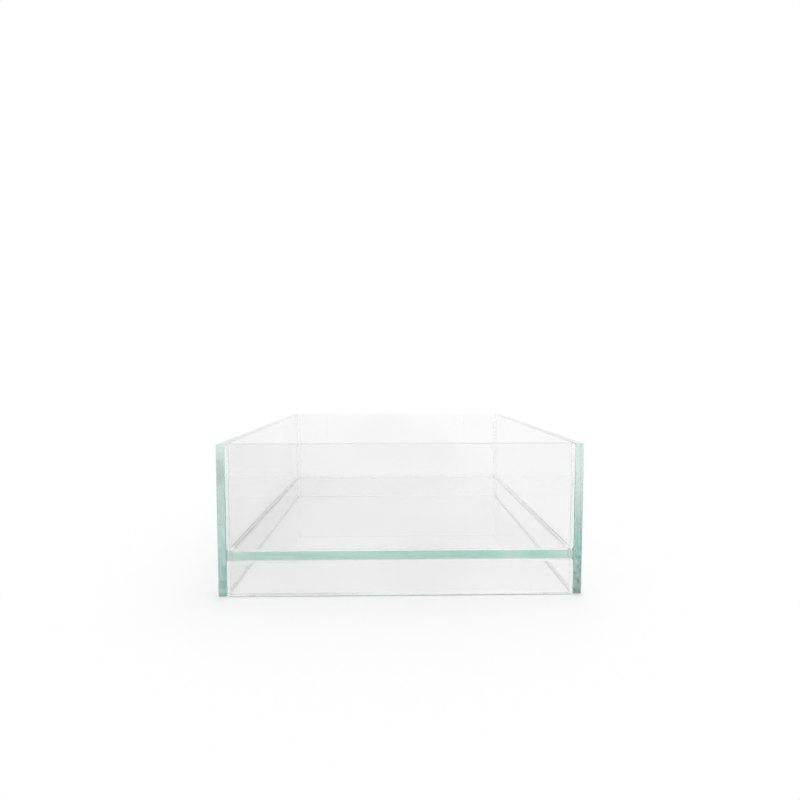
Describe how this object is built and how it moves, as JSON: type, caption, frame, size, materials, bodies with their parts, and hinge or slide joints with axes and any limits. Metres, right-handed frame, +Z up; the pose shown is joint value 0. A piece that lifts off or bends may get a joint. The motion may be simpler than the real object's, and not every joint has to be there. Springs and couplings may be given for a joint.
{
  "type": "glass aquarium tank",
  "caption": "Low rimless aquarium of clear sheet glass with a raised glass floor, its panes bonded with clear silicone",
  "frame": {"origin": "Middle of the footprint, at the height of the surface that the walls stand on", "axes": "+X to the right of someone facing the front end, +Y from the front end towards the back end, +Z up"},
  "size_m": [0.2, 0.2, 0.084],
  "materials": {
    "glass": "clear float glass, flat polished edges with a fine ground arris",
    "silicone": "clear, slightly milky silicone, tooled smooth"
  },
  "bodies": {
    "root": {"left_side_pane": "glass", "right_side_pane": "glass", "front_end_pane": "glass", "back_end_pane": "glass", "raised_floor_pane": "glass", "corner_bond_front_left": "silicone", "corner_bond_front_right": "silicone", "corner_bond_back_left": "silicone", "corner_bond_back_right": "silicone", "corner_bead_front_left": "silicone", "corner_bead_front_right": "silicone", "corner_bead_back_left": "silicone", "corner_bead_back_right": "silicone", "floor_bond_front": "silicone", "floor_bond_back": "silicone", "floor_bond_left": "silicone", "floor_bond_right": "silicone", "floor_bead_front": "silicone", "floor_bead_back": "silicone", "floor_bead_left": "silicone", "floor_bead_right": "silicone", "under_bead_front": "silicone", "under_bead_back": "silicone", "under_bead_left": "silicone", "under_bead_right": "silicone"}
  },
  "joints": []
}
